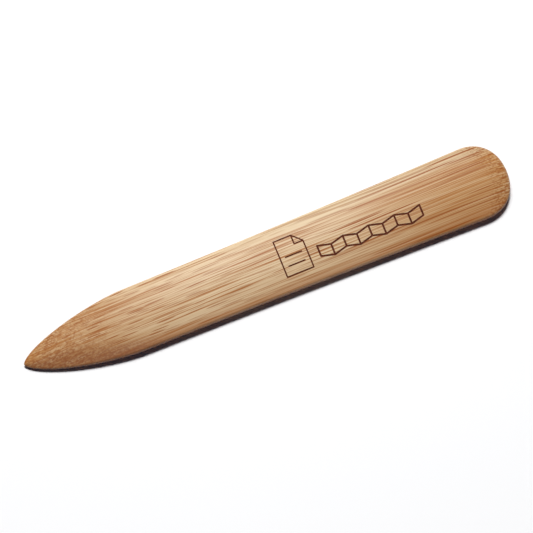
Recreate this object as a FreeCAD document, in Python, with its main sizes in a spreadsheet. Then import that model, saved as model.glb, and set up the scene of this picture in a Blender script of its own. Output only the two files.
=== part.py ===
import FreeCAD, Part
import os
from math import asin, atan2, pi

import Sketcher

# A bone folder: one flat blade of bamboo, pointed at one end and broad and round at the
# other. +X runs along the blade towards the round end (the heel) and +Z is up. The origin
# is at the middle of the blade's box, on the surface that the blade rests on.

doc = FreeCAD.newDocument("bone_folder")

# ---------------------------------------------------------------- driving dimensions (mm)

DIMENSIONS = [
    ("length", 160.0, "overall length"),
    ("belly_half_width", 10.15, "half width where the point's curve runs into the sides"),
    ("shoulder_half_width", 11.81, "half width where the sides run into the heel's curve"),
    ("flare_power", 1.6, "how late the sides widen towards the heel"),
    ("thickness", 5.0, "thickness at the middle of the width"),
    ("rest_depth", 0.2, "depth sanded off the crowned underside to make it flat"),
    ("nose_share", 0.25, "radius of the rounded long edges, as a share of the thickness"),
    ("point_length", 35.5, "length of the pointed end"),
    ("point_power", 1.52, "fullness of the point seen from above"),
    ("nib_height", 1.75, "height of the upper face behind the nib's rounding"),
    ("nib_lift", 0.55, "height of the underside behind the nib's rounding"),
    ("nib_power", 80.0, "how soon the nib's rounding ends; a large power is a short nib"),
    ("taper_length", 60.0, "distance from the tip at which the blade has its full thickness"),
    ("taper_power", 2.5, "how soon the upper face rises behind the nib"),
    ("lift_power", 5.0, "how soon the underside comes down behind the nib"),
    ("heel_length", 11.6, "length of the heel's curve"),
    ("heel_power", 2.17, "fullness of the heel seen from above"),
    ("roll_power", 3.0, "fullness of the heel's rounded end seen from the side"),
    ("groove_depth", 0.25, "depth of the burnt grooves"),
    ("char_thickness", 0.12, "thickness of the charred layer on the grooves' floor"),
    ("crown_radius", 38.0, "radius of the blade's crowned face under the mark"),
    ("page_stroke", 0.45, "groove width in the drawn page"),
    ("page_left", 4.6, "left edge of the drawn page"),
    ("page_right", 13.3, "right edge of the drawn page"),
    ("page_top", 5.9, "distance of the page's top and bottom edges from the middle"),
    ("dog_ear", 2.9, "size of the page's folded corner"),
    ("crease_inset", 1.7, "gap between the page's creases and its edges"),
    ("strip_stroke", 0.6, "groove width in the drawn folded strip"),
    ("strip_left", 16.6, "left end of the drawn folded strip"),
    ("strip_top", -0.3, "top edge of the drawn folded strip"),
    ("panel_width", 4.25, "width of one panel of the folded strip"),
    ("panel_height", 3.4, "height of one panel of the folded strip"),
    ("fold_step", 1.1, "step between neighbouring folds of the strip"),
]
PANEL_COUNT = 8
CREASE_HEIGHTS = (0.0, -0.5)  # shares of page_top

# Places of the blade's lofted cross-sections, as shares of the point, sides and heel. The
# first and the last lie a hair short of their curve's very end, where it closes to nothing.
POINT_SHARES = (0.004, 0.012, 0.03, 0.07, 0.14, 0.25, 0.38, 0.54, 0.74, 0.9)
SIDE_SHARES = (0.0, 0.07, 0.18, 0.34, 0.5, 0.66, 0.82, 0.93)
HEEL_SHARES = (0.0, 0.15, 0.32, 0.52, 0.7, 0.83, 0.92, 0.97, 0.99, 0.998)

sheet = doc.addObject("Spreadsheet::Sheet", "Sheet")
for row, (alias, value, meaning) in enumerate(DIMENSIONS, start=1):
    sheet.set(f"A{row}", meaning)
    sheet.set(f"B{row}", str(value))
    sheet.setAlias(f"B{row}", alias)
doc.recompute()


def size_of(expression):
    """The number that an expression over the sheet's cells gives at present."""
    return float(sheet.evalExpression(expression))


# -------------------------------------------------------------- formulas of the blade
# Each is the text of an expression over the sheet's cells.

TIP_X = f"(-Sheet.length / 2 - {POINT_SHARES[0]} * Sheet.point_length)"
BELLY_X = f"({TIP_X} + Sheet.point_length)"
SHOULDER_X = f"(Sheet.length / 2 - {HEEL_SHARES[-1]} * Sheet.heel_length)"
SIDE_LENGTH = f"({SHOULDER_X} - {BELLY_X})"
FLARE = "(Sheet.shoulder_half_width - Sheet.belly_half_width)"
MIDDLE_Z = "((Sheet.thickness - Sheet.rest_depth) / 2)"
HALF_THICKNESS = "((Sheet.thickness + Sheet.rest_depth) / 2)"


def side_half_width(share):
    """Half width of the slowly widening sides, at a share of their length."""
    return f"(Sheet.belly_half_width + {FLARE} * ({share}) ^ Sheet.flare_power)"


def upper_face(distance):
    """Height of the upper face along the middle, at a distance from the tip."""
    rest = f"max(0; 1 - ({distance}) / Sheet.taper_length)"
    return (f"(Sheet.thickness"
            f" - (Sheet.thickness - Sheet.nib_height) * {rest} ^ Sheet.taper_power)")


def point_station(share):
    """Place, half width, middle and half height of a section across the pointed end."""
    rest = f"(1 - {share})"
    place = f"{TIP_X} + {share} * Sheet.point_length"
    half_width = (f"Sheet.belly_half_width"
                  f" * (1 - {rest} ^ Sheet.point_power) ^ (1 / Sheet.point_power)")
    top = upper_face(f"{share} * Sheet.point_length")
    bottom = (f"((Sheet.nib_lift + Sheet.rest_depth) * {rest} ^ Sheet.lift_power"
              f" - Sheet.rest_depth)")
    rounding = f"(1 - {rest} ^ Sheet.nib_power) ^ 0.5"
    return place, half_width, f"({top} + {bottom}) / 2", f"({top} - {bottom}) / 2 * {rounding}"


def side_station(share):
    """Place, half width, middle and half height of a section between point and heel."""
    place = f"{BELLY_X} + {share} * {SIDE_LENGTH}"
    top = upper_face(f"Sheet.point_length + {share} * {SIDE_LENGTH}")
    middle = f"({top} - Sheet.rest_depth) / 2"
    return place, side_half_width(share), middle, f"({top} + Sheet.rest_depth) / 2"


def heel_station(share):
    """Place, half width, middle and half height of a section across the rounded heel."""
    place = f"{SHOULDER_X} + {share} * Sheet.heel_length"
    widening = side_half_width(f"1 + {share} * Sheet.heel_length / {SIDE_LENGTH}")
    half_width = (f"{widening}"
                  f" * (1 - {share} ^ Sheet.heel_power) ^ (1 / Sheet.heel_power)")
    roll = f"{HALF_THICKNESS} * (1 - {share} ^ Sheet.roll_power) ^ (1 / Sheet.roll_power)"
    return place, half_width, MIDDLE_Z, roll


# ------------------------------------------------------------------------- sketch helpers

START, END, CENTRE = 1, 2, 3
ORIGIN, VERTICAL_AXIS = -1, -2
QUARTER = pi / 2
SKETCH_NORMAL = FreeCAD.Vector(0, 0, 1)


def sketch_on(body, name, role):
    """A sketch on one of a body's own origin planes."""
    sketch = body.newObject("Sketcher::SketchObject", name)
    plane = [feature for feature in body.Origin.OriginFeatures if feature.Role == role]
    sketch.AttachmentSupport = [(plane[0], "")]
    sketch.MapMode = "FlatFace"
    return sketch


def add_arc(sketch, centre, radius, first, last):
    """An arc, counter-clockwise from the first angle to the last; gives its index."""
    circle = Part.Circle(FreeCAD.Vector(*centre, 0), SKETCH_NORMAL, radius)
    return sketch.addGeometry(Part.ArcOfCircle(circle, first, last))


def add_line(sketch, first, last):
    """A straight line between two points; gives its index."""
    return sketch.addGeometry(
        Part.LineSegment(FreeCAD.Vector(*first, 0), FreeCAD.Vector(*last, 0)))


def tie(sketch, kind, *items):
    """A constraint with no dimension."""
    sketch.addConstraint(Sketcher.Constraint(kind, *items))


def measure(sketch, name, expression, kind, *items):
    """A named dimension that follows an expression over the sheet's cells."""
    sketch.addConstraint(Sketcher.Constraint(kind, *items, size_of(expression)))
    sketch.renameConstraint(sketch.ConstraintCount - 1, name)
    sketch.setExpression(f"Constraints.{name}", expression)


def place_centre(sketch, name, item, across, up):
    """Dimension the centre of an arc from the sketch's origin."""
    measure(sketch, f"{name}_across", across, "DistanceX", ORIGIN, START, item, CENTRE)
    measure(sketch, f"{name}_up", up, "DistanceY", ORIGIN, START, item, CENTRE)


# ------------------------------------------------------------------------------ the blade

def section_sketch(body, name, station):
    """A flattened oval across the blade: two round edges joined by two crowned faces."""
    place, half_width, middle, half_height = station
    half_height = f"({half_height})"
    nose_radius = f"(2 * Sheet.nose_share * {half_height})"
    nose_y = f"({half_width} - {nose_radius})"
    crown_radius = (f"(({nose_y} ^ 2 + {half_height} ^ 2 - {nose_radius} ^ 2)"
                    f" / (2 * ({half_height} - {nose_radius})))")

    y, z, nose = size_of(nose_y), size_of(middle), size_of(nose_radius)
    crown = size_of(crown_radius)
    drop = crown - size_of(half_height)
    lean = asin(y / (crown - nose))

    sketch = sketch_on(body, name, "YZ_Plane")
    sketch.setExpression("AttachmentOffset.Base.z", place)
    right = add_arc(sketch, (y, z), nose, lean - QUARTER, QUARTER - lean)
    upper = add_arc(sketch, (0, z - drop), crown, QUARTER - lean, QUARTER + lean)
    left = add_arc(sketch, (-y, z), nose, QUARTER + lean, 3 * QUARTER - lean)
    lower = add_arc(sketch, (0, z + drop), crown, 3 * QUARTER - lean, 3 * QUARTER + lean)
    for one, other in ((right, upper), (upper, left), (left, lower), (lower, right)):
        tie(sketch, "Tangent", one, END, other, START)
    tie(sketch, "Symmetric", right, CENTRE, left, CENTRE, VERTICAL_AXIS)
    tie(sketch, "Equal", right, left)
    place_centre(sketch, "nose", right, nose_y, middle)
    measure(sketch, "nose_radius", nose_radius, "Radius", right)
    measure(sketch, "upper_crown", crown_radius, "Radius", upper)
    measure(sketch, "lower_crown", crown_radius, "Radius", lower)
    return sketch


def blade_body():
    """The blade before it is marked: lofted along its length, and sanded flat below."""
    body = doc.addObject("PartDesign::Body", "blank")
    stations = [point_station(share) for share in POINT_SHARES]
    stations += [side_station(share) for share in SIDE_SHARES]
    stations += [heel_station(share) for share in HEEL_SHARES]
    sections = [section_sketch(body, f"section_{number}", station)
                for number, station in enumerate(stations, start=1)]
    loft = body.newObject("PartDesign::AdditiveLoft", "blade_loft")
    loft.Profile = sections[0]
    loft.Sections = sections[1:]
    doc.recompute()
    lofted_volume = loft.Shape.Volume

    below = sketch_on(body, "resting_plane", "XY_Plane")
    corners = [(-1, -1), (1, -1), (1, 1), (-1, 1)]
    reach = (size_of("Sheet.length"), size_of("Sheet.shoulder_half_width * 2"))
    points = [(across * reach[0], up * reach[1]) for across, up in corners]
    for first, last in zip(points, points[1:] + points[:1]):
        add_line(below, first, last)
    for side in range(len(points)):
        tie(below, "Coincident", side, END, (side + 1) % len(points), START)
        tie(below, "Vertical" if side % 2 else "Horizontal", side)
    tie(below, "Symmetric", 0, START, 1, END, ORIGIN, START)
    measure(below, "reach_x", "Sheet.length * 2", "DistanceX", 0, START, 0, END)
    measure(below, "reach_y", "Sheet.shoulder_half_width * 4", "DistanceY", 1, START, 1, END)
    flat = body.newObject("PartDesign::Pocket", "underside_flat")
    flat.Profile = below
    flat.setExpression("Length", "Sheet.rest_depth * 10")
    doc.recompute()
    if flat.Shape.Volume >= lofted_volume:
        raise RuntimeError("the flat under the blade took nothing away")
    return body


# --------------------------------------------------------------------------- the burnt mark

def page_strokes():
    """A sheet of paper with one corner folded over and two creases."""
    left, right = "Sheet.page_left", "Sheet.page_right"
    top, bottom = "Sheet.page_top", "(-Sheet.page_top)"
    ear_x, ear_y = "(Sheet.page_right - Sheet.dog_ear)", "(Sheet.page_top - Sheet.dog_ear)"
    outline = [(left, bottom), (right, bottom), (right, ear_y), (ear_x, top), (left, top)]
    strokes = list(zip(outline, outline[1:] + outline[:1]))
    strokes += [((ear_x, top), (ear_x, ear_y)), ((ear_x, ear_y), (right, ear_y))]
    for share in CREASE_HEIGHTS:
        crease_y = f"({share} * Sheet.page_top)"
        strokes.append(((f"({left} + Sheet.crease_inset)", crease_y),
                        (f"({right} - Sheet.crease_inset)", crease_y)))
    return strokes


def strip_strokes():
    """A strip of paper folded back and forth: folds, and panel edges between them."""
    folds = []
    for number in range(PANEL_COUNT + 1):
        across = f"(Sheet.strip_left + {number} * Sheet.panel_width)"
        upper = f"(Sheet.strip_top - {number % 2} * Sheet.fold_step)"
        folds.append(((across, upper), (across, f"({upper} - Sheet.panel_height)")))
    strokes = list(folds)
    for (upper, lower), (next_upper, next_lower) in zip(folds, folds[1:]):
        strokes += [(upper, next_upper), (lower, next_lower)]
    return strokes


def stroke_cutter(name, stroke, width):
    """An upright prism with round ends that follows one stroke of the mark."""
    first, last = stroke
    radius = f"({width} / 2)"
    (x1, y1), (x2, y2) = [(size_of(across), size_of(up)) for across, up in stroke]
    along = atan2(y2 - y1, x2 - x1)
    span = FreeCAD.Vector(x2 - x1, y2 - y1, 0)
    out = FreeCAD.Vector(span.y, -span.x, 0).normalize() * size_of(radius)
    sketch = doc.addObject("Sketcher::SketchObject", f"{name}_outline")
    near = add_line(sketch, (x1 + out.x, y1 + out.y), (x2 + out.x, y2 + out.y))
    cap = add_arc(sketch, (x2, y2), size_of(radius), along - QUARTER, along + QUARTER)
    far = add_line(sketch, (x2 - out.x, y2 - out.y), (x1 - out.x, y1 - out.y))
    foot = add_arc(sketch, (x1, y1), size_of(radius), along + QUARTER, along + 3 * QUARTER)
    for one, other in ((near, cap), (cap, far), (far, foot), (foot, near)):
        tie(sketch, "Tangent", one, END, other, START)
    tie(sketch, "Equal", cap, foot)
    measure(sketch, "radius", radius, "Radius", cap)
    place_centre(sketch, "first", foot, *first)
    place_centre(sketch, "last", cap, *last)
    prism = doc.addObject("Part::Extrusion", name)
    prism.Base = sketch
    prism.DirMode = "Custom"
    prism.Dir = FreeCAD.Vector(0, 0, 1)
    prism.Solid = True
    prism.setExpression("LengthFwd", "Sheet.thickness + 1")
    return prism


def crowned_slab(name, thickness):
    """A slab that lies on the grooves' crowned floor; its thickness is an expression."""
    body = doc.addObject("PartDesign::Body", name)
    floor_z = "(Sheet.thickness - Sheet.groove_depth - Sheet.crown_radius)"
    upper_radius = f"(Sheet.crown_radius + {thickness})"
    half_width = "Sheet.shoulder_half_width"
    reach = size_of(half_width)
    centre = (0, size_of(floor_z))
    inner, outer = size_of("Sheet.crown_radius"), size_of(upper_radius)
    inner_lean, outer_lean = asin(reach / inner), asin(reach / outer)

    sketch = sketch_on(body, f"{name}_section", "YZ_Plane")
    floor = add_arc(sketch, centre, inner, QUARTER - inner_lean, QUARTER + inner_lean)
    roof = add_arc(sketch, centre, outer, QUARTER - outer_lean, QUARTER + outer_lean)
    ends = [(sketch.getPoint(floor, end), sketch.getPoint(roof, end)) for end in (START, END)]
    walls = [add_line(sketch, (low.x, low.y), (high.x, high.y)) for low, high in ends]
    for wall, end in zip(walls, (START, END)):
        tie(sketch, "Coincident", wall, START, floor, end)
        tie(sketch, "Coincident", wall, END, roof, end)
        tie(sketch, "Vertical", wall)
    tie(sketch, "Coincident", floor, CENTRE, roof, CENTRE)
    tie(sketch, "PointOnObject", floor, CENTRE, VERTICAL_AXIS)
    measure(sketch, "centre_up", floor_z, "DistanceY", ORIGIN, START, floor, CENTRE)
    measure(sketch, "floor_radius", "Sheet.crown_radius", "Radius", floor)
    measure(sketch, "roof_radius", upper_radius, "Radius", roof)
    measure(sketch, "right", half_width, "DistanceX", ORIGIN, START, floor, START)
    measure(sketch, "left", half_width, "DistanceX", floor, END, ORIGIN, START)
    pad = body.newObject("PartDesign::Pad", f"{name}_pad")
    pad.Profile = sketch
    pad.setExpression("Length", "Sheet.length / 2")
    return body


blank = blade_body()
drawn = [(stroke, "Sheet.page_stroke") for stroke in page_strokes()]
drawn += [(stroke, "Sheet.strip_stroke") for stroke in strip_strokes()]
cutters = [stroke_cutter(f"stroke_{number}", stroke, width)
           for number, (stroke, width) in enumerate(drawn, start=1)]
strokes = doc.addObject("Part::MultiFuse", "strokes")
strokes.Shapes = cutters

# The grooves' slab reaches out above the blade, and the charred one stays inside them.
grooves = doc.addObject("Part::MultiCommon", "grooves")
grooves.Shapes = [strokes, crowned_slab("groove_slab", "4 * Sheet.groove_depth")]

bamboo_blade = doc.addObject("Part::Cut", "bamboo_blade")
bamboo_blade.Base = blank
bamboo_blade.Tool = grooves

burnt_mark = doc.addObject("Part::MultiCommon", "burnt_mark")
burnt_mark.Shapes = [strokes, crowned_slab("char_slab", "Sheet.char_thickness")]

doc.recompute()

# ---------------------------------------------------------------------- check and write

for item in doc.Objects:
    if "Invalid" in item.State or "Error" in item.State:
        raise RuntimeError(f"{item.Name} failed: {item.State}")

in_first_groove = FreeCAD.Vector(
    size_of("Sheet.strip_left"),
    size_of("Sheet.strip_top - Sheet.panel_height / 2"),
    size_of("Sheet.thickness - Sheet.groove_depth / 2"))
if bamboo_blade.Shape.isInside(in_first_groove, 0.01, False):
    raise RuntimeError("the grooves took nothing away")

os.makedirs("parts", exist_ok=True)
for piece in (bamboo_blade, burnt_mark):
    if piece.Shape.isNull() or not piece.Shape.isValid():
        raise RuntimeError(f"{piece.Label} has no valid shape")
    piece.Shape.exportStep(f"parts/{piece.Label}.step")
    print(piece.Label, len(piece.Shape.Solids), "solids", round(piece.Shape.Volume, 1), "mm3")
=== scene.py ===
import math

import bpy
from mathutils import Matrix, Vector
from mathutils.geometry import delaunay_2d_cdt


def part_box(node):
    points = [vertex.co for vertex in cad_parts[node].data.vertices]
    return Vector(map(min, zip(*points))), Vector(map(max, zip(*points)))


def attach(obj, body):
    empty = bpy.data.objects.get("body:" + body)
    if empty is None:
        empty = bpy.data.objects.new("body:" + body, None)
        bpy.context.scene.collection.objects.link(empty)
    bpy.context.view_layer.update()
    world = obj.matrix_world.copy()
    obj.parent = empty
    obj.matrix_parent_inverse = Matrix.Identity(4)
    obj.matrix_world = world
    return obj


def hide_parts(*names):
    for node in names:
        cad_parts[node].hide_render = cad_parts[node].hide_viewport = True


# A bamboo bone folder on a white table, seen from almost straight above. The blade is one
# mesh with the grooves of its burnt drawing cut into it, and the charred layer in the
# grooves is another. +X runs along the blade towards the round end (the heel).

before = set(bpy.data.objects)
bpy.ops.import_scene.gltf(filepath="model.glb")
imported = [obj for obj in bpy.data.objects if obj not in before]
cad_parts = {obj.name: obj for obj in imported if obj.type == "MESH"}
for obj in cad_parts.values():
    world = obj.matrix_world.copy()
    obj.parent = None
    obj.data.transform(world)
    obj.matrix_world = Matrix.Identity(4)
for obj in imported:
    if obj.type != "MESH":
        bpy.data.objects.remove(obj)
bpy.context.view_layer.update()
blade_low, blade_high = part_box("bamboo_blade")
mark_low, mark_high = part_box("burnt_mark")

MM = 0.001
QUARTER = math.pi / 2

# ------------------------------------------------------------------- the blade's shape
# The CAD blade's curves, drawn out to nothing at both ends. A power says how square or how
# sudden a curve is.

# The outline, seen from above.
POINT_LENGTH = 35.5 * MM
POINT_POWER = 1.52
BELLY_HALF_WIDTH = 10.15 * MM  # where the point's curve ends
SHOULDER_HALF_WIDTH = min(blade_high.y, -blade_low.y) - 0.01 * MM  # where the heel's begins
FLARE_POWER = 1.6
HEEL_LENGTH = 11.6 * MM
HEEL_POWER = 2.17

# The side view.
THICKNESS = blade_high.z
REST_DEPTH = 0.2 * MM  # sanded off the crowned underside, which leaves a flat
TAPER_LENGTH = 60.0 * MM  # over which the upper face comes down to the nib
TAPER_POWER = 2.5
NIB_HEIGHT = 1.75 * MM
NIB_LIFT = 0.55 * MM  # of the nib's underside above the table
LIFT_POWER = 5.0
NIB_POWER = 80.0
ROLL_POWER = 3.0  # of the heel's round end

# The cross-section.
NOSE_SHARE = 0.25  # radius of the round edge, as a share of the thickness
SLIMMEST = 0.85  # greatest height, as a share of the width

TIP_X = blade_low.x
HEEL_X = blade_high.x
BELLY_X = TIP_X + POINT_LENGTH
SHOULDER_X = HEEL_X - HEEL_LENGTH
MIDDLE_Z = (THICKNESS - REST_DEPTH) / 2


def cross_section(x):
    """Half width, height of the middle, and half height of the blade across one place."""
    run = max(0.0, (x - BELLY_X) / (SHOULDER_X - BELLY_X))
    half_width = BELLY_HALF_WIDTH + (SHOULDER_HALF_WIDTH - BELLY_HALF_WIDTH) * run ** FLARE_POWER
    rise = max(0.0, 1 - (x - TIP_X) / TAPER_LENGTH)
    top = THICKNESS - (THICKNESS - NIB_HEIGHT) * rise ** TAPER_POWER
    bottom = -REST_DEPTH
    rounding = 1.0
    if x < BELLY_X:
        rest = min(1.0, (BELLY_X - x) / POINT_LENGTH)
        half_width *= (1 - rest ** POINT_POWER) ** (1 / POINT_POWER)
        bottom += (NIB_LIFT + REST_DEPTH) * rest ** LIFT_POWER
        rounding = math.sqrt(1 - rest ** NIB_POWER)
    elif x > SHOULDER_X:
        share = min(1.0, (x - SHOULDER_X) / HEEL_LENGTH)
        half_width *= (1 - share ** HEEL_POWER) ** (1 / HEEL_POWER)
        rounding = (1 - share ** ROLL_POWER) ** (1 / ROLL_POWER)
    half_height = (top - bottom) / 2 * rounding
    return half_width, (top + bottom) / 2, min(half_height, SLIMMEST * half_width)


def edge_and_crown(half_width, half_height):
    """Radius of the round edge, radius of the crowned face, and the angle they meet at."""
    nose = 2 * NOSE_SHARE * half_height
    reach = half_width - nose
    crown = (reach ** 2 + half_height ** 2 - nose ** 2) / (2 * (half_height - nose))
    return nose, crown, math.asin(reach / (crown - nose))


def top_height(x, y):
    """Height of the upper face, before any groove is cut."""
    half_width, middle, half_height = cross_section(x)
    crown = edge_and_crown(half_width, half_height)[1]
    return middle + half_height - crown + math.sqrt(crown ** 2 - y ** 2)


TOP_STEPS, NOSE_STEPS, BOTTOM_STEPS = 40, 12, 16
RING_SIZE = TOP_STEPS + BOTTOM_STEPS + 2 * NOSE_STEPS


def ring(x):
    """Points round the blade at one place: top face, +Y edge, underside, -Y edge."""
    half_width, middle, half_height = cross_section(x)
    nose, crown, lean = edge_and_crown(half_width, half_height)
    reach, drop = half_width - nose, crown - half_height
    arcs = [
        (0, middle - drop, crown, QUARTER + lean, QUARTER - lean, TOP_STEPS),
        (reach, middle, nose, QUARTER - lean, lean - QUARTER, NOSE_STEPS),
        (0, middle + drop, crown, lean - QUARTER, -lean - QUARTER, BOTTOM_STEPS),
        (-reach, middle, nose, -lean - QUARTER, lean - 3 * QUARTER, NOSE_STEPS),
    ]
    points = []
    for y, z, radius, first, last, steps in arcs:
        for step in range(steps):
            angle = first + (last - first) * step / steps
            height = max(blade_low.z, z + radius * math.sin(angle))
            points.append(Vector((x, y + radius * math.cos(angle), height)))
    return points


POINT_STEPS, SIDE_STEPS, HEEL_STEPS = 70, 200, 40
POINT_CROWDING, HEEL_CROWDING = 1.6, 2.2  # how strongly the rings crowd towards an end


def ring_places():
    """Where the rings stand along the blade, close together at both ends."""
    places = [TIP_X + POINT_LENGTH * (step / POINT_STEPS) ** POINT_CROWDING
              for step in range(1, POINT_STEPS)]
    places += [BELLY_X + (SHOULDER_X - BELLY_X) * step / SIDE_STEPS
               for step in range(SIDE_STEPS)]
    places += [HEEL_X - HEEL_LENGTH * (1 - step / HEEL_STEPS) ** HEEL_CROWDING
               for step in range(HEEL_STEPS)]
    return places


# ----------------------------------------------------------------------- the burnt drawing
# A sheet of paper with a folded corner and creases, and a strip of paper folded back and
# forth. Both stand where the CAD mark stands.

PAGE_GROOVE = 0.45 * MM
PAGE_WIDTH = 8.7 * MM
DOG_EAR = 2.9 * MM
CREASE_INSET = 1.7 * MM
CREASE_HEIGHTS = (0.0, -0.5)  # shares of the page's half height
STRIP_GROOVE = 0.6 * MM
PANEL_COUNT = 8
PANEL_WIDTH = 4.25 * MM
PANEL_HEIGHT = 3.4 * MM
FOLD_STEP = 1.1 * MM
STRIP_TOP = -0.3 * MM

GROOVE_DEPTH = 0.25 * MM
CHAR_DEPTH = 0.12 * MM  # how far the charred floor lies below the blade's face
WALL_WIDTH = 0.09 * MM  # of a groove's sloping wall, seen from above


def page_strokes():
    """Lines of the sheet of paper, each as its two ends."""
    left = mark_low.x + PAGE_GROOVE / 2
    right = left + PAGE_WIDTH
    top = mark_high.y - PAGE_GROOVE / 2
    ear_x, ear_y = right - DOG_EAR, top - DOG_EAR
    outline = [(left, -top), (right, -top), (right, ear_y), (ear_x, top), (left, top)]
    strokes = list(zip(outline, outline[1:] + outline[:1]))
    strokes += [((ear_x, top), (ear_x, ear_y)), ((ear_x, ear_y), (right, ear_y))]
    for share in CREASE_HEIGHTS:
        strokes.append(((left + CREASE_INSET, share * top), (right - CREASE_INSET, share * top)))
    return strokes


def strip_strokes():
    """Lines of the folded strip: its folds, and the panels' edges between them."""
    left = mark_high.x - STRIP_GROOVE / 2 - PANEL_COUNT * PANEL_WIDTH
    folds = []
    for number in range(PANEL_COUNT + 1):
        x = left + number * PANEL_WIDTH
        top = STRIP_TOP - number % 2 * FOLD_STEP
        folds.append(((x, top), (x, top - PANEL_HEIGHT)))
    strokes = list(folds)
    for (upper, lower), (next_upper, next_lower) in zip(folds, folds[1:]):
        strokes += [(upper, next_upper), (lower, next_lower)]
    return strokes


STROKES = [(Vector(first), Vector(last), PAGE_GROOVE / 2) for first, last in page_strokes()]
STROKES += [(Vector(first), Vector(last), STRIP_GROOVE / 2) for first, last in strip_strokes()]


def inside_groove(point):
    """How far a point of the plan lies inside a groove's rim; negative outside."""
    distances = []
    for first, last, half_width in STROKES:
        along = last - first
        share = max(0.0, min(1.0, (point - first).dot(along) / along.length_squared))
        distances.append(half_width - (point - first - along * share).length)
    return max(distances)


def sink(inside):
    """Share of its full depth that a groove has at a distance inside its rim."""
    return max(0.0, min(1.0, inside / WALL_WIDTH))


OUTLINE_STEP = 0.4 * MM
CAP_STEPS = 8


def stroke_outline(first, last, half_width):
    """A closed loop round one stroke, with round ends."""
    along = (last - first).normalized()
    across = Vector((-along.y, along.x))
    steps = math.ceil((last - first).length / OUTLINE_STEP)
    loop = []
    for start, end, side in ((first, last, -1), (last, first, 1)):
        loop += [start.lerp(end, step / steps) + across * half_width * side
                 for step in range(steps)]
        for step in range(CAP_STEPS):
            turn = Matrix.Rotation(math.pi * step / CAP_STEPS, 2)
            loop.append(end + turn @ (across * half_width * side))
    return loop


# ------------------------------------------------------------------------- making meshes

SHARP_ANGLE = math.radians(40)


def make_piece(name, points, faces, material, node):
    """A smooth mesh object that rides on the one body and stands for a CAD node."""
    mesh = bpy.data.meshes.new(name)
    mesh.from_pydata(points, [], faces)
    mesh.update()
    mesh.shade_smooth()
    mesh.set_sharp_from_angle(angle=SHARP_ANGLE)
    mesh.materials.append(material)
    piece = bpy.data.objects.new(name, mesh)
    bpy.context.scene.collection.objects.link(piece)
    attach(piece, "root")
    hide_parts(node)


MARK_COLUMNS = (2, TOP_STEPS - 2)  # the ring's points between which the drawing lies
MARK_MARGIN = 1.5 * MM
GRID_CLEARANCE = 0.15 * MM  # between a groove and the nearest points of the rings
INSIDE_ONLY = 1  # the triangulation's output type: triangles inside the border
MERGE_DISTANCE = 1e-5  # in millimetres


def mark_patch(rings, first_ring, last_ring):
    """Triangles of the marked part of the top face, whose edges follow the grooves.

    Gives the patch's plan points, the ring point that each one stands for (or None), and
    its triangles."""
    low_column, high_column = MARK_COLUMNS
    border = [(first_ring, column) for column in range(low_column, high_column)]
    border += [(number, high_column) for number in range(first_ring, last_ring)]
    border += [(last_ring, column) for column in range(high_column, low_column, -1)]
    border += [(number, low_column) for number in range(last_ring, first_ring, -1)]
    border_points = [rings[number][column].xy for number, column in border]

    plan = list(border_points)
    edges = [(index, (index + 1) % len(border)) for index in range(len(border))]
    for number in range(first_ring + 1, last_ring):
        for column in range(low_column + 1, high_column):
            point = rings[number][column].xy
            if inside_groove(point) < -GRID_CLEARANCE:
                plan.append(point)
    for first, last, half_width in STROKES:
        for width in (half_width, half_width - WALL_WIDTH):
            loop = stroke_outline(first, last, width)
            start = len(plan)
            plan += loop
            edges += [(start + index, start + (index + 1) % len(loop))
                      for index in range(len(loop))]

    scaled = [point / MM for point in plan]
    found, _, triangles, origins, _, _ = delaunay_2d_cdt(
        scaled, edges, [], INSIDE_ONLY, MERGE_DISTANCE)
    stands_for = []
    for origin in origins:
        on_border = [index for index in origin if index < len(border)]
        stands_for.append(border[on_border[0]] if on_border else None)
    return [point * MM for point in found], stands_for, triangles


def ring_mesh(rings, first_ring, last_ring):
    """The blade's points and faces, all but the faces of the marked patch."""
    points = [point for one_ring in rings for point in one_ring]
    faces = []
    for number in range(len(rings) - 1):
        near = number * RING_SIZE
        for column in range(RING_SIZE):
            marked = first_ring <= number < last_ring
            if marked and MARK_COLUMNS[0] <= column < MARK_COLUMNS[1]:
                continue
            beside = (column + 1) % RING_SIZE
            faces.append((near + column, near + RING_SIZE + column,
                          near + RING_SIZE + beside, near + beside))

    tip, heel = len(points), len(points) + 1
    points.append(Vector((TIP_X, 0, cross_section(TIP_X)[1])))
    points.append(Vector((HEEL_X, 0, MIDDLE_Z)))
    last = (len(rings) - 1) * RING_SIZE
    for column in range(RING_SIZE):
        beside = (column + 1) % RING_SIZE
        faces.append((tip, column, beside))
        faces.append((heel, last + beside, last + column))
    return points, faces


def groove_mesh(points, plan, stands_for, triangles, inside):
    """Add the marked patch's own points to the blade's, and give the patch's faces."""
    blade_index = []
    for point, place, depth in zip(plan, stands_for, inside):
        if place is None:
            height = top_height(point.x, point.y) - GROOVE_DEPTH * sink(depth)
            blade_index.append(len(points))
            points.append(Vector((point.x, point.y, height)))
        else:
            number, column = place
            blade_index.append(number * RING_SIZE + column)
    return [tuple(blade_index[corner] for corner in triangle) for triangle in triangles]


RIM_TOLERANCE = 0.001 * MM  # a point nearer than this to a groove's rim lies on it


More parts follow.
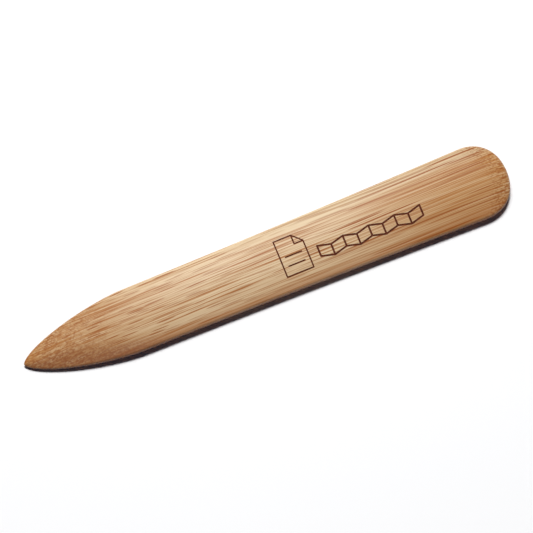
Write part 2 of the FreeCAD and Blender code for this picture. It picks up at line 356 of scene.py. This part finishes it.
def char_mesh(plan, triangles, inside):
    """The charred layer's points and faces: a skin on the grooves' floors and walls, and one
    above it that meets it along the rim."""
    points, faces = [], []
    lower, upper = {}, {}
    for triangle in triangles:
        depths = [inside[corner] for corner in triangle]
        if min(depths) < -RIM_TOLERANCE or max(depths) < RIM_TOLERANCE:
            continue
        for corner in triangle:
            if corner in lower:
                continue
            point, depth = plan[corner], sink(inside[corner])
            face_height = top_height(point.x, point.y)
            lower[corner] = upper[corner] = len(points)
            points.append(Vector((point.x, point.y, face_height - GROOVE_DEPTH * depth)))
            if inside[corner] > RIM_TOLERANCE:
                upper[corner] = len(points)
                points.append(Vector((point.x, point.y, face_height - CHAR_DEPTH * depth)))
        faces.append(tuple(upper[corner] for corner in triangle))
        faces.append(tuple(lower[corner] for corner in reversed(triangle)))
    return points, faces


def make_blade_and_mark(bamboo, char):
    """The blade's mesh with its grooves, and the charred layer that lies in them."""
    places = ring_places()
    rings = [ring(x) for x in places]
    first_ring = max(i for i, x in enumerate(places) if x < mark_low.x - MARK_MARGIN)
    last_ring = min(i for i, x in enumerate(places) if x > mark_high.x + MARK_MARGIN)
    plan, stands_for, triangles = mark_patch(rings, first_ring, last_ring)
    inside = [inside_groove(point) for point in plan]

    points, faces = ring_mesh(rings, first_ring, last_ring)
    faces += groove_mesh(points, plan, stands_for, triangles, inside)
    make_piece("blade", points, faces, bamboo, "bamboo_blade")

    points, faces = char_mesh(plan, triangles, inside)
    make_piece("burnt_drawing", points, faces, char, "burnt_mark")


# ------------------------------------------------------------------------------ materials
# Inside a material, places and lengths are in millimetres, and colours are linear.

class Nodes:
    """Short calls that add nodes to a material or a world. A value is a number or a socket."""

    def __init__(self, block, shader):
        block.use_nodes = True
        self.block = block
        self.tree = block.node_tree
        self.shader = self.tree.nodes[shader]

    def add(self, kind, inputs=(), **settings):
        node = self.tree.nodes.new(kind)
        for name, value in settings.items():
            setattr(node, name, value)
        for name, value in dict(inputs).items():
            self.set(node.inputs[name], value)
        return node

    def set(self, socket, value):
        if isinstance(value, bpy.types.NodeSocket):
            self.tree.links.new(value, socket)
        else:
            socket.default_value = value

    def maths(self, operation, *values):
        inputs = dict(enumerate(values))
        return self.add("ShaderNodeMath", inputs, operation=operation).outputs[0]

    def vector(self, x, y, z):
        return self.add("ShaderNodeCombineXYZ", {"X": x, "Y": y, "Z": z}).outputs[0]

    def fade(self, value, low, high, start=0.0, end=1.0):
        """A smooth step from start, where value is low, to end, where it is high."""
        inputs = {"Value": value, "From Min": low, "From Max": high, "To Min": start, "To Max": end}
        node = self.add("ShaderNodeMapRange", inputs, interpolation_type="SMOOTHSTEP")
        return node.outputs["Result"]

    def noise(self, vector, detail, roughness=0.5):
        inputs = {"Vector": vector, "Scale": 1.0, "Detail": detail, "Roughness": roughness}
        return self.add("ShaderNodeTexNoise", inputs).outputs["Fac"]

    def mix(self, factor, one, other, blend="MIX"):
        """One colour turned into the other. Their sockets lie after those for other values."""
        node = self.add("ShaderNodeMix", data_type="RGBA", blend_type=blend)
        for socket, value in zip((node.inputs[0], node.inputs[6], node.inputs[7]),
                                 (factor, one, other)):
            self.set(socket, value)
        return node.outputs[2]

    def bump(self, height, strength, distance):
        """Let a height bend the shader's normal."""
        inputs = {"Height": height, "Strength": strength, "Distance": distance}
        self.set(self.shader.inputs["Normal"], self.add("ShaderNodeBump", inputs).outputs[0])

    def millimetres(self):
        """The place on the object, in millimetres along X, Y and Z."""
        place = self.add("ShaderNodeTexCoord").outputs["Object"]
        scaled = self.add("ShaderNodeVectorMath", {0: place, "Scale": 1 / MM}, operation="SCALE")
        return self.add("ShaderNodeSeparateXYZ", {0: scaled.outputs[0]}).outputs

    def normal(self):
        facing = self.add("ShaderNodeNewGeometry").outputs["Normal"]
        return self.add("ShaderNodeSeparateXYZ", {0: facing}).outputs


# A STRETCH is a piece of the X axis over which something comes in or changes, a BORDER is one
# of the Y axis, and a RANGE is one of any other value, such as a noise. Each is given from
# none to full, and a STRENGTH says how much full is.
SWAY = 1.6  # of the fibres, sideways
DIVE = 0.45  # of the fibres, up and down
RUN_OUT = 2.4  # how far the face has moved among the fibres by the heel
RUN_OUT_STRETCH = (-80.0, 40.0)
SLANT = 0.012  # a further move per millimetre of length
LAYER_SHARE = 0.6  # and per millimetre of height


def fibre_place(n, x, y, z):
    """How far across the fibres a point lies, and how deep among them.

    The face cuts the fibres at a slant that is steepest near the middle of the blade, so it
    shows their bundles as dashes there and as longer lines towards the heel."""
    def wander(along, over, seed, detail):
        place = n.vector(n.maths("MULTIPLY", x, along), n.maths("MULTIPLY", y, over), seed)
        return n.noise(place, detail)

    across = n.maths("MULTIPLY_ADD", wander(along=0.02, over=0.1, seed=1.7, detail=1.0), SWAY, y)
    deep = n.maths("MULTIPLY_ADD", x, SLANT, n.fade(x, *RUN_OUT_STRETCH, end=RUN_OUT))
    deep = n.maths("MULTIPLY_ADD", z, LAYER_SHARE, deep)
    dive = wander(along=0.05, over=0.3, seed=8.1, detail=2.0)
    return across, n.maths("MULTIPLY_ADD", dive, DIVE, deep)


# Noises drawn out along the fibres. For each: changes per millimetre along the fibres, across
# them and in depth, a seed, the number of octaves and the roughness.
FIBRE_NOISES = {
    "bands": (0.011, 0.28, 0.28, 0.0, 1.0, 0.5),
    "grain": (0.02, 1.8, 0.5, 20.0, 2.0, 0.6),
    "lines": (0.03, 3.6, 0.5, 60.0, 1.0, 0.5),
    "pores": (1.2, 1.9, 1.9, 40.0, 2.0, 0.6),
    "clouds": (0.5, 0.7, 0.7, 80.0, 1.0, 0.5),
}


def fibre_noises(n, x, across, deep):
    """The noises of the table above, by name."""
    noises = {}
    for name, (along, over, under, seed, detail, roughness) in FIBRE_NOISES.items():
        place = n.vector(n.maths("MULTIPLY_ADD", x, along, seed),
                         n.maths("MULTIPLY", across, over), n.maths("MULTIPLY", deep, under))
        noises[name] = n.noise(place, detail, roughness)
    return noises


# Bundles: their spacing, their radius and a seed.
THICK_BUNDLES = (0.95, 0.2, 0.0)
THIN_BUNDLES = (0.65, 0.15, 31.0)
CORE_SHARE = 0.6  # of a bundle's radius, fully dark
WIDENING_STRETCH = (0.0, 35.0)
HEEL_SLIMNESS = 0.75  # shrinks distances, so bundles are wider at the heel
THICK_RANGE = (0.25, 0.5)  # of a bundle's random value
THIN_RANGE = (0.3, 0.9)
THIN_STRENGTH = 0.7
BANDS_RANGE = (0.62, 0.42)
SHARE_IN_BROWN_BANDS, SHARE_IN_PALE_BANDS = 0.7, 0.95
TO_POINT_STRETCH = (-5.0, -35.0)
TO_HEEL_STRETCH = (5.0, 30.0)
SHARE_IN_MIDDLE, SHARE_AT_POINT, SHARE_AT_HEEL = 0.62, 0.85, 1.0


def bundle_strength(n, x, across, deep, bands):
    """How strongly a bundle darkens each place, from 0 to 1.

    Bundles show least in the middle of the blade and in its browner bands."""
    slimness = n.fade(x, *WIDENING_STRETCH, 1.0, HEEL_SLIMNESS)

    def bundles(spacing, radius, seed):
        """Round bundles in a field: how near the core (0 to 1), and a random value for each."""
        place = n.vector(n.maths("MULTIPLY_ADD", across, 1 / spacing, seed),
                         n.maths("MULTIPLY_ADD", deep, 1 / spacing, seed), 0.0)
        cells = n.add("ShaderNodeTexVoronoi", {"Vector": place, "Scale": 1.0},
                      voronoi_dimensions="2D")
        edge = radius / spacing
        away = n.maths("MULTIPLY", cells.outputs["Distance"], slimness)
        chance = n.add("ShaderNodeSeparateColor", {0: cells.outputs["Color"]}).outputs[0]
        return n.fade(away, edge * CORE_SHARE, edge, 1.0, 0.0), chance

    thick, thick_chance = bundles(*THICK_BUNDLES)
    thin, thin_chance = bundles(*THIN_BUNDLES)
    thick = n.maths("MULTIPLY", thick, n.fade(thick_chance, *THICK_RANGE))
    thin = n.maths("MULTIPLY", thin, n.fade(thin_chance, *THIN_RANGE, end=THIN_STRENGTH))
    off_middle = n.maths("MAXIMUM", n.fade(x, *TO_POINT_STRETCH, SHARE_IN_MIDDLE, SHARE_AT_POINT),
                         n.fade(x, *TO_HEEL_STRETCH, SHARE_IN_MIDDLE, SHARE_AT_HEEL))
    off_brown = n.fade(bands, *BANDS_RANGE, SHARE_IN_BROWN_BANDS, SHARE_IN_PALE_BANDS)
    share = n.maths("MULTIPLY", off_brown, off_middle)
    return n.maths("MULTIPLY", n.maths("MAXIMUM", thin, thick), share)


TONE_RANGE = (-0.1, 1.1)  # from the pale ground to the brown one
TONE_AT_ENDS = 0.67
TONE_IN_MIDDLE = 0.01
TONE_OF_BANDS = 0.5
FROM_POINT_STRETCH = (-84.0, -15.0)
FROM_HEEL_STRETCH = (65.0, 15.0)
TILT_STRETCH = (10.0, 50.0)
TILT_AT_POINT, TILT_AT_HEEL = -0.010, 0.012  # change of tone per millimetre of Y
# A painted sheen along the far +Y edge, laid on as a paler, beige strip.
FAR_EDGE_STRETCH = (-20.0, 20.0)
FAR_EDGE_BORDER = (6.0, 9.5)
FAR_EDGE_SHEEN_PALING = 0.5  # taken off the tone
SHEEN_COLOUR_PER_PALING = 0.8
GRAIN_RANGE, GRAIN_STRENGTH = (0.5, 0.7), 0.08
DARK_LINE_RANGE, DARK_LINE_STRENGTH = (0.5, 0.66), 0.85
PALE_LINE_RANGE, PALE_LINE_STRENGTH = (0.5, 0.35), 0.35
# The skin side's browning, partly painted shade along the -Y edge.
SKIN_AND_SHADE_BORDER = (-5.0, -8.5)
SKIN_AND_SHADE_STRETCH = (-35.0, 10.0)
SKIN_AND_SHADE_AT_POINT, SKIN_AND_SHADE_AT_HEEL = 0.75, 0.55

PALE_GROUND = (0.67, 0.505, 0.315, 1)
BROWN_GROUND = (0.43, 0.215, 0.075, 1)
GRAIN_BROWN = (0.38, 0.16, 0.05, 1)
DARK_LINE = (0.36, 0.13, 0.03, 1)
PALE_LINE = (0.76, 0.59, 0.38, 1)
FAR_EDGE_SHEEN_COLOUR = (0.59, 0.465, 0.285, 1)
SKIN_AND_SHADE_BROWN = (0.37, 0.14, 0.042, 1)
BUNDLE_RED = (0.29, 0.08, 0.013, 1)


def fibre_colour(n, x, y, noises, side):
    """Colour of the fibres between the bundles. side is Y with a wave in it."""
    # Paler in the middle of the blade, browner at both ends: partly paler wood, partly a painted
    # pool of sheen. The +Y side is the paler one towards the point, partly as painted sheen, and
    # the -Y side towards the heel, but for a painted sheen strip along the far +Y edge.
    # The paler middle is partly a painted pool of sheen.
    middle = n.maths("MULTIPLY", n.fade(x, *FROM_POINT_STRETCH), n.fade(x, *FROM_HEEL_STRETCH))
    # Painted sheen: a paler strip along the far +Y edge.
    far_edge_sheen = n.maths("MULTIPLY", n.fade(y, *FAR_EDGE_BORDER),
                       n.fade(x, *FAR_EDGE_STRETCH, end=FAR_EDGE_SHEEN_PALING))
    tone = n.maths("MULTIPLY_ADD", middle, TONE_IN_MIDDLE - TONE_AT_ENDS, TONE_AT_ENDS)
    tone = n.maths("MULTIPLY_ADD", noises["bands"], TONE_OF_BANDS, tone)
    # Towards the point the +Y side is paler, partly as painted sheen; towards the heel the -Y side
    # is paler.
    tilt = n.fade(x, *TILT_STRETCH, TILT_AT_POINT, TILT_AT_HEEL)
    tone = n.maths("MULTIPLY_ADD", y, tilt, tone)
    tone = n.maths("SUBTRACT", tone, far_edge_sheen)
    colour = n.mix(n.fade(tone, *TONE_RANGE), PALE_GROUND, BROWN_GROUND)

    grain = n.fade(noises["grain"], *GRAIN_RANGE, end=GRAIN_STRENGTH)
    dark_lines = n.fade(noises["lines"], *DARK_LINE_RANGE, end=DARK_LINE_STRENGTH)
    pale_lines = n.fade(noises["lines"], *PALE_LINE_RANGE, end=PALE_LINE_STRENGTH)
    colour = n.mix(grain, colour, GRAIN_BROWN)
    colour = n.mix(dark_lines, colour, DARK_LINE)
    colour = n.mix(pale_lines, colour, PALE_LINE)
    # The painted sheen's beige colour on the far +Y edge.
    colour = n.mix(n.maths("MULTIPLY", far_edge_sheen, SHEEN_COLOUR_PER_PALING), colour, FAR_EDGE_SHEEN_COLOUR)

    # The skin side of the bamboo is browner, most of all near the point; part of this brown is
    # painted shade along the -Y edge, where the face rounds over.
    skin_and_shade = n.maths("MULTIPLY", n.fade(side, *SKIN_AND_SHADE_BORDER),
                   n.fade(x, *SKIN_AND_SHADE_STRETCH, SKIN_AND_SHADE_AT_POINT, SKIN_AND_SHADE_AT_HEEL))
    return n.mix(skin_and_shade, colour, SKIN_AND_SHADE_BROWN)


POINT_STRETCH = (-45.0, -70.0)
HEEL_STRETCH = (72.0, 77.0)
HEEL_BOW = 0.045  # the heel's dark end follows its outline
FACING_RANGE = (0.1, 0.5)  # of how squarely a surface faces along X
PALE_RANGE, PALE_STRENGTH = (0.48, 0.36), 0.15
BLOTCH_RANGE, BLOTCH_STRENGTH = (0.42, 0.6), 0.55
SPECK_RANGE, SPECK_STRENGTH = (0.48, 0.64), 0.65
STAIN_LEAN = 0.3  # the stain's front runs aslant over the blade
STAIN_FRONT_RANGE, STAIN_STRENGTH = (-16.8, -22.3), 0.7
STAIN_BORDER = (2.0, -1.0)
MOTTLE_RANGE = (0.38, 0.6)
MOTTLE_LEAST, MOTTLE_MOST = 0.55, 1.25  # shares of the stain's strength
CUT_PALE = (0.58, 0.37, 0.17, 1)
BLOTCH_BROWN = (0.36, 0.14, 0.035, 1)
STAIN_BROWN = (0.28, 0.115, 0.055, 1)
SPECK_BROWN = (0.27, 0.085, 0.022, 1)


def cut_ends(n, x, y, noises, side, colour):
    """The colour with the cut ends and a stain added, and how dark the specks are.

    Both ends, and any surface that faces along X, cut across the fibres: they drink more
    oil, and look darker and mottled."""
    pores = noises["pores"]
    facing_x = n.normal()["X"]
    cut = n.fade(n.maths("ABSOLUTE", facing_x), *FACING_RANGE)
    near_point = n.fade(x, *POINT_STRETCH)
    bow = n.maths("MULTIPLY_ADD", n.maths("MULTIPLY", y, y), HEEL_BOW, x)
    near_heel = n.fade(bow, *HEEL_STRETCH)
    ends = n.maths("MAXIMUM", n.maths("MAXIMUM", near_point, near_heel), cut)

    pale = n.maths("MULTIPLY", n.fade(pores, *PALE_RANGE, end=PALE_STRENGTH), ends)
    blotch = n.fade(noises["clouds"], *BLOTCH_RANGE, end=BLOTCH_STRENGTH)
    blotch = n.maths("MULTIPLY", blotch, near_point)
    colour = n.mix(pale, colour, CUT_PALE)
    colour = n.mix(blotch, colour, BLOTCH_BROWN)

    # A mottled stain on the skin side of the point.
    lean = n.maths("MULTIPLY_ADD", x, STAIN_LEAN, side)
    stain = n.fade(lean, *STAIN_FRONT_RANGE, end=STAIN_STRENGTH)
    stain = n.maths("MULTIPLY", stain, n.fade(side, *STAIN_BORDER))
    mottle = n.fade(pores, *MOTTLE_RANGE, MOTTLE_LEAST, MOTTLE_MOST)
    colour = n.mix(n.maths("MULTIPLY", stain, mottle), colour, STAIN_BROWN)

    specks = n.maths("MULTIPLY", n.fade(pores, *SPECK_RANGE, end=SPECK_STRENGTH), ends)
    return n.mix(specks, colour, SPECK_BROWN), specks


SIDE_WAVE = 3.0  # how far the skin side's border wanders
# Painted shade: surfaces that face sideways or down, the round edges and the underside, are
# darkened.
SHADE_FACING_RANGE, SHADE_FACING_STRENGTH = (0.6, -0.1), 0.6  # of how squarely a surface faces up
PAINTED_SHADE_COLOUR = (0.62, 0.48, 0.42, 1)
POLISH_RANGE = (0.3, 0.8)
SMOOTHEST, ROUGHEST = 0.36, 0.46
BUNDLE_RELIEF, LINE_RELIEF, SPECK_RELIEF = -0.8, 0.6, -0.6  # shares of the relief's height
RELIEF_HEIGHT, RELIEF_STRENGTH = 0.02 * MM, 0.5


def bamboo_material():
    """Sanded bamboo, a solid of fibres and their darker bundles that run along X."""
    n = Nodes(bpy.data.materials.new("bamboo"), "Principled BSDF")
    x, y, z = n.millimetres()
    across, deep = fibre_place(n, x, y, z)
    noises = fibre_noises(n, x, across, deep)
    bundles = bundle_strength(n, x, across, deep, noises["bands"])
    side = n.maths("MULTIPLY_ADD", noises["bands"], SIDE_WAVE, y)

    colour = fibre_colour(n, x, y, noises, side)
    colour = n.mix(bundles, colour, BUNDLE_RED)
    colour, specks = cut_ends(n, x, y, noises, side, colour)
    # Painted shade on the round edges and the underside.
    edge = n.fade(n.normal()["Z"], *SHADE_FACING_RANGE, end=SHADE_FACING_STRENGTH)
    colour = n.mix(edge, colour, PAINTED_SHADE_COLOUR, "MULTIPLY")

    n.set(n.shader.inputs["Base Color"], colour)
    n.set(n.shader.inputs["Roughness"],
          n.fade(noises["grain"], *POLISH_RANGE, SMOOTHEST, ROUGHEST))
    n.shader.inputs["IOR"].default_value = 1.45
    n.shader.inputs["Specular IOR Level"].default_value = 0.4

    relief = n.maths("MULTIPLY", noises["lines"], LINE_RELIEF)
    relief = n.maths("MULTIPLY_ADD", bundles, BUNDLE_RELIEF, relief)
    relief = n.maths("MULTIPLY_ADD", specks, SPECK_RELIEF, relief)
    n.bump(relief, RELIEF_STRENGTH, RELIEF_HEIGHT)
    return n.block


CHAR_BLACK = (0.05, 0.012, 0.006, 1)
CHAR_BROWN = (0.17, 0.044, 0.022, 1)
BURN_ALONG, BURN_ACROSS = 0.9, 5.0  # changes per millimetre
BURN_COLOUR_RANGE = (0.3, 0.75)
BURN_POLISH_RANGE = (0.3, 0.7)
CHAR_ROUGHEST, CHAR_SMOOTHEST = 0.9, 0.7
CRUST_HEIGHT, CRUST_STRENGTH = 0.05 * MM, 0.7


def char_material():
    """Bamboo burnt dark brown, matt, uneven along the fibres."""
    n = Nodes(bpy.data.materials.new("charred_bamboo"), "Principled BSDF")
    x, y, z = n.millimetres()
    place = n.vector(n.maths("MULTIPLY", x, BURN_ALONG), n.maths("MULTIPLY", y, BURN_ACROSS), z)
    burn = n.noise(place, detail=4.0, roughness=0.65)
    colour = n.mix(n.fade(burn, *BURN_COLOUR_RANGE), CHAR_BLACK, CHAR_BROWN)
    n.set(n.shader.inputs["Base Color"], colour)
    n.set(n.shader.inputs["Roughness"],
          n.fade(burn, *BURN_POLISH_RANGE, CHAR_ROUGHEST, CHAR_SMOOTHEST))
    n.shader.inputs["Specular IOR Level"].default_value = 0.2
    n.bump(burn, CRUST_STRENGTH, CRUST_HEIGHT)
    return n.block


def table_material():
    """A plain white table top."""
    n = Nodes(bpy.data.materials.new("white_table"), "Principled BSDF")
    n.shader.inputs["Base Color"].default_value = (0.95, 0.95, 0.95, 1)
    n.shader.inputs["Roughness"].default_value = 0.9
    n.shader.inputs["Specular IOR Level"].default_value = 0.1
    return n.block


# ------------------------------------------------------------------ table, light, camera

TABLE_HALF = 6.0  # of its side


def make_table():
    """A white table top under the blade, far larger than any view."""
    mesh = bpy.data.meshes.new("table")
    corners = [(x * TABLE_HALF, y * TABLE_HALF, 0) for x, y in ((-1, -1), (1, -1), (1, 1), (-1, 1))]
    mesh.from_pydata(corners, [], [(0, 1, 2, 3)])
    mesh.materials.append(table_material())
    table = bpy.data.objects.new("table", mesh)
    bpy.context.scene.collection.objects.link(table)


TARGET = Vector((0.05 * MM, 0.05 * MM, MIDDLE_Z))  # at the centre of the picture
TURN = math.radians(22.2)  # of the blade in the picture, anticlockwise
TILT = math.radians(11.0)  # of the camera away from straight above
DISTANCE = 1.0
VIEW_WIDTH = 163.6 * MM  # of the picture, at the target


def make_camera():
    """A long lens, almost straight above, with the blade turned in the picture."""
    data = bpy.data.cameras.new("camera")
    data.lens = data.sensor_width * DISTANCE / VIEW_WIDTH
    camera = bpy.data.objects.new("camera", data)
    bpy.context.scene.collection.objects.link(camera)
    turn = Matrix.Rotation(-TURN, 4, "Z") @ Matrix.Rotation(TILT, 4, "X")
    camera.matrix_world = Matrix.Translation(TARGET) @ turn @ Matrix.Translation((0, 0, DISTANCE))
    bpy.context.scene.camera = camera


def make_lamp(name, kind, azimuth, elevation, distance, power, **settings):
    """A lamp that faces the blade. Azimuth 0 stands on the picture's right, 90 behind."""
    data = bpy.data.lights.new(name, kind)
    data.energy = power
    for setting, value in settings.items():
        setattr(data, setting, value)
    lamp = bpy.data.objects.new(name, data)
    bpy.context.scene.collection.objects.link(lamp)
    turn = math.radians(azimuth) - TURN
    rise = math.radians(elevation)
    away = Vector((math.cos(turn) * math.cos(rise), math.sin(turn) * math.cos(rise), math.sin(rise)))
    lamp.location = TARGET + away * distance
    lamp.rotation_euler = away.to_track_quat("Z", "Y").to_euler()
    lamp.visible_camera = False
    return lamp


ROOM_LIGHT = 0.03
ROOM_SEEN = 0.715  # what the camera sees of the walls: as pale as the far table top
ROOM_TINT = (0.5, 0.6, 1.0, 1)
WHITE = (1, 1, 1, 1)


def make_room():
    """A dim, bluish room, whose walls look pale to the camera."""
    n = Nodes(bpy.data.worlds.new("studio"), "Background")
    seen = n.add("ShaderNodeLightPath").outputs["Is Camera Ray"]
    n.set(n.shader.inputs["Strength"], n.fade(seen, 0.0, 1.0, ROOM_LIGHT, ROOM_SEEN))
    n.set(n.shader.inputs["Color"], n.mix(seen, ROOM_TINT, WHITE))
    bpy.context.scene.world = n.block
    bpy.context.scene.view_settings.view_transform = "Standard"


def make_light():
    """A soft lamp far behind the blade, a softbox nearer in almost the same direction, and a
    low panel behind the blade."""
    far_lamp = make_lamp("far_lamp", "SUN", azimuth=96, elevation=61, distance=2.0, power=2.75,
                         angle=math.radians(12))
    far_lamp.visible_glossy = False
    make_lamp("softbox", "AREA", azimuth=103, elevation=60, distance=0.5, power=0.9, size=0.16)
    make_lamp("back_panel", "AREA", azimuth=103, elevation=20, distance=0.9, power=0.6, size=0.35)


make_camera()
make_light()
make_room()
make_table()
make_blade_and_mark(bamboo_material(), char_material())

bpy.context.view_layer.update()
